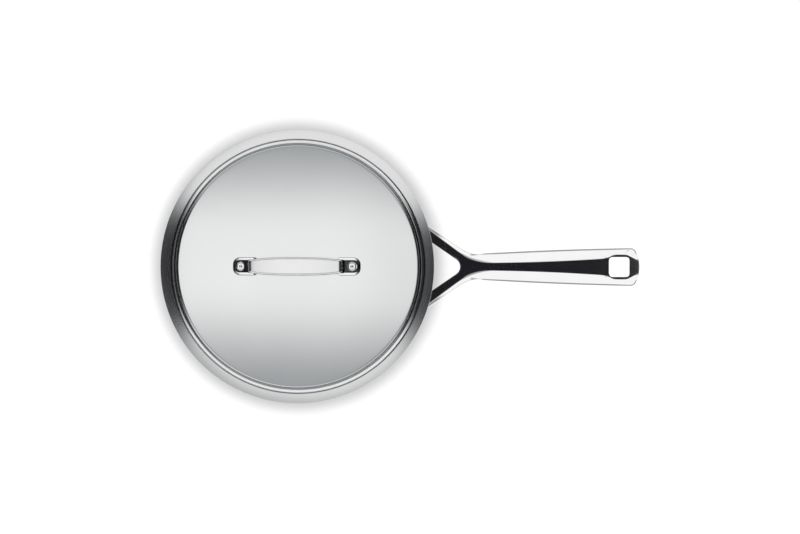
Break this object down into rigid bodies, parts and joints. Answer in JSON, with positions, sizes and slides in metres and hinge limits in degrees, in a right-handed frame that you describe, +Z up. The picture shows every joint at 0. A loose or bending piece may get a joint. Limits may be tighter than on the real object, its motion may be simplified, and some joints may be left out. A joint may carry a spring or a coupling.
{
  "type": "saute pan with lid",
  "caption": "Straight-sided stainless saute pan with a flared pouring lip, a forked riveted long handle with a hanging hole, and a shallow domed lift-off lid with a strap handle.",
  "frame": {"origin": "centre of the pan's flat base, on the surface that it stands on", "axes": "+Z up along the pan's axis, +X along the long handle, +Y to the handle's left side as seen from the pan"},
  "size_m": [0.4611, 0.2694, 0.1234],
  "materials": {
    "satin_steel": "satin",
    "polished_steel": "polished",
    "core_aluminium": "rolled"
  },
  "bodies": {
    "pan": {"pan_inner_layer": "satin_steel", "pan_core_layer": "core_aluminium", "pan_outer_layer": "satin_steel", "long_handle": "polished_steel", "handle_rivet_left_upper": "satin_steel", "handle_rivet_left_lower": "satin_steel", "handle_rivet_right_upper": "satin_steel", "handle_rivet_right_lower": "satin_steel"},
    "lid": {"lid_shell": "polished_steel", "lid_handle": "polished_steel", "lid_rivet_left": "polished_steel", "lid_rivet_right": "polished_steel"}
  },
  "joints": [
    {"name": "lid_lift", "type": "slide", "parent": "pan", "child": "lid", "axis": [0, 0, 1], "range_m": [0, 0.2]}
  ]
}
